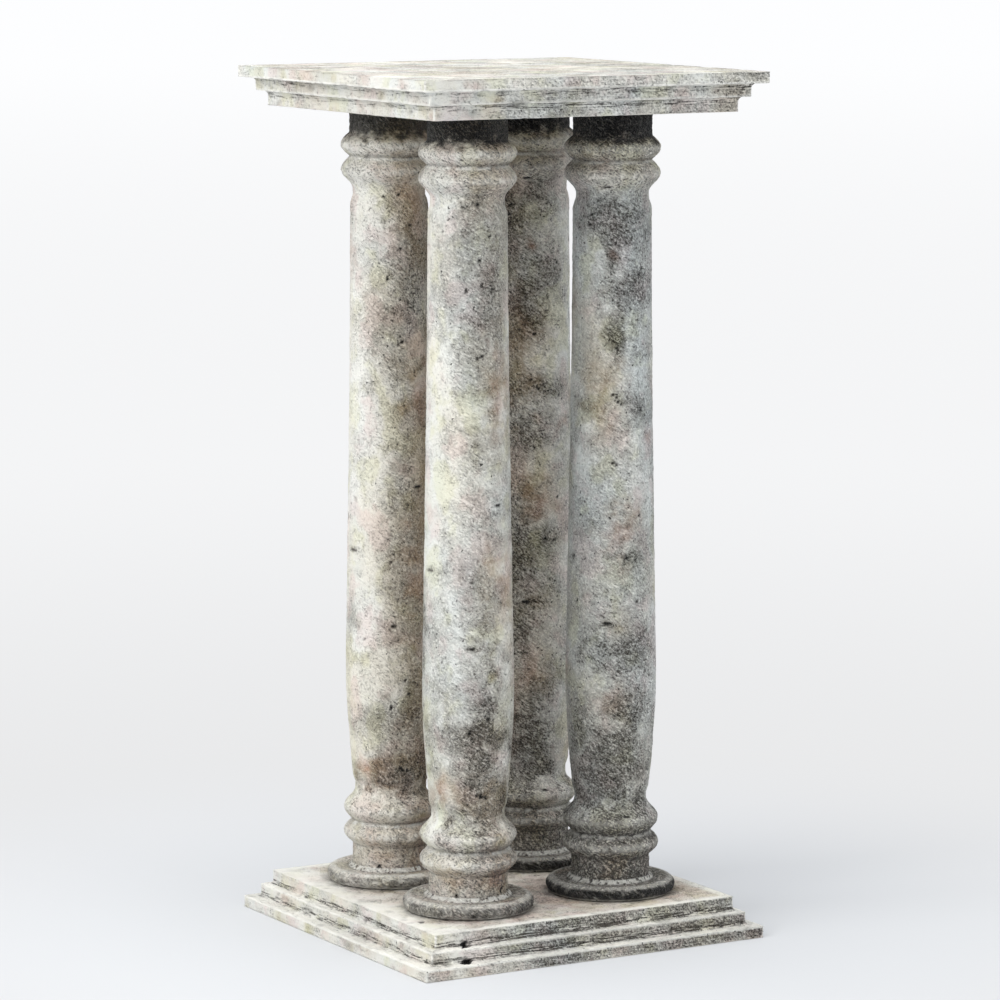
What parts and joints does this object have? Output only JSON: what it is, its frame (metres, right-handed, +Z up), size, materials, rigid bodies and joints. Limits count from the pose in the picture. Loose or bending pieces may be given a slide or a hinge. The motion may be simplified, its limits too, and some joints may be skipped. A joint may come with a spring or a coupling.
{
  "type": "four-column stone pedestal",
  "caption": "Weathered limestone display pedestal: turned roman columns stand on a square stepped plinth and carry a square moulded slab.",
  "frame": {"origin": "middle of the plinth's underside, on the ground", "axes": "+Z up along the columns, -Y towards the front, +X to the right"},
  "size_m": [0.4, 0.4, 0.8934],
  "materials": {
    "slab_stone": "matt",
    "plinth_stone": "matt",
    "column_stone": "matt"
  },
  "bodies": {
    "root": {"top_slab": "slab_stone", "base_plinth": "plinth_stone", "column_front_left": "column_stone", "column_front_right": "column_stone", "column_back_left": "column_stone", "column_back_right": "column_stone"}
  },
  "joints": []
}
